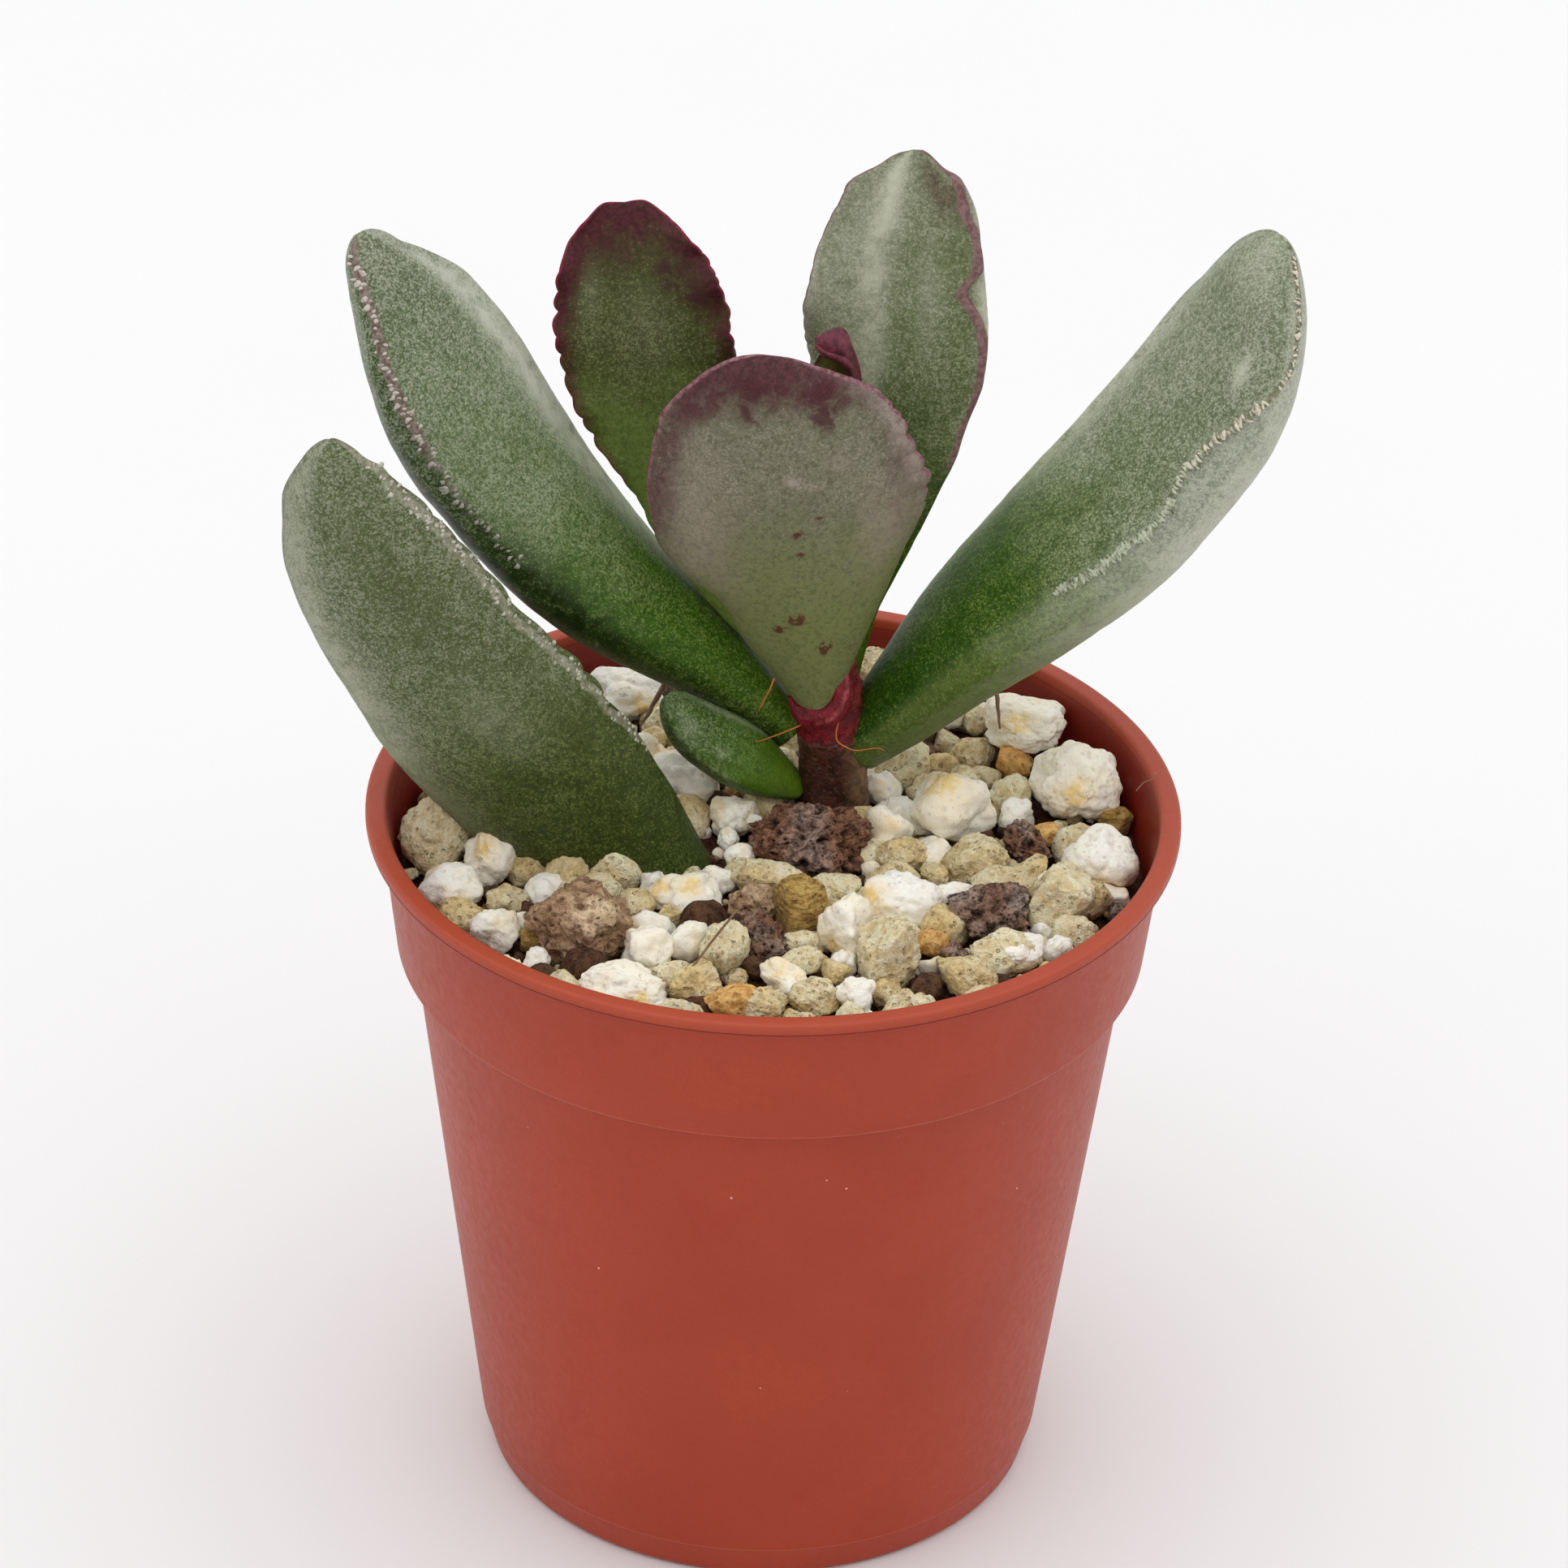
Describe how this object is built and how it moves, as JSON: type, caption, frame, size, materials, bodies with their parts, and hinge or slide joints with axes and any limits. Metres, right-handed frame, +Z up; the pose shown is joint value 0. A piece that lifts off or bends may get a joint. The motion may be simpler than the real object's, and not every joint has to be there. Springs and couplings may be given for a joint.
{
  "type": "potted adromischus blosianus",
  "caption": "Small thick-leaved succulent on a short stem, standing in gritty mix in a round plastic nursery pot with a rolled lip and collar.",
  "frame": {"origin": "centre of the pot's flat underside, which rests on the surface", "axes": "+Z up along the pot's axis, -Y towards the plant's front, +X to the right seen from the front"},
  "size_m": [0.0675, 0.055, 0.0928],
  "materials": {
    "pot": "terracotta coloured moulded plastic, slightly satin",
    "mix": "dark gritty soil and small grit",
    "stem": "brown purple stem, rough, with a magenta top",
    "leaf_green": "waxy green with dense pale speckle and a pale crinkled margin",
    "leaf_grey": "waxy grey green with fine pale speckle and a purple margin",
    "leaf_purple": "waxy olive green blotched with dark red purple",
    "perlite": "white expanded grain, finely porous, stained yellow in places",
    "pumice": "tan porous stone with dark specks",
    "lava": "dark purple brown stone full of holes",
    "rose_stone": "pinkish brown porous stone",
    "bark": "tan chip with fine dark grain"
  },
  "bodies": {
    "root": {"pot": "pot", "stem": "stem", "right_leaf": "leaf_green", "left_leaf": "leaf_green", "front_leaf": "leaf_grey", "back_left_leaf": "leaf_purple", "back_right_leaf": "leaf_grey", "mother_leaf": "leaf_green", "small_leaf": "leaf_green", "young_leaf": "leaf_purple", "rose_1": "rose_stone", "lava_1": "lava", "lava_2": "lava", "bark_1": "bark", "perlite_1": "perlite", "perlite_2": "perlite", "perlite_3": "perlite", "perlite_4": "perlite", "perlite_5": "perlite", "perlite_6": "perlite", "perlite_7": "perlite", "perlite_8": "perlite", "perlite_9": "perlite", "perlite_10": "perlite", "perlite_11": "perlite", "perlite_12": "perlite", "perlite_13": "perlite", "pumice_1": "pumice", "pumice_2": "pumice", "pumice_3": "pumice", "pumice_4": "pumice", "pumice_5": "pumice", "pumice_6": "pumice", "pumice_7": "pumice", "potting_mix": "mix"}
  },
  "joints": []
}
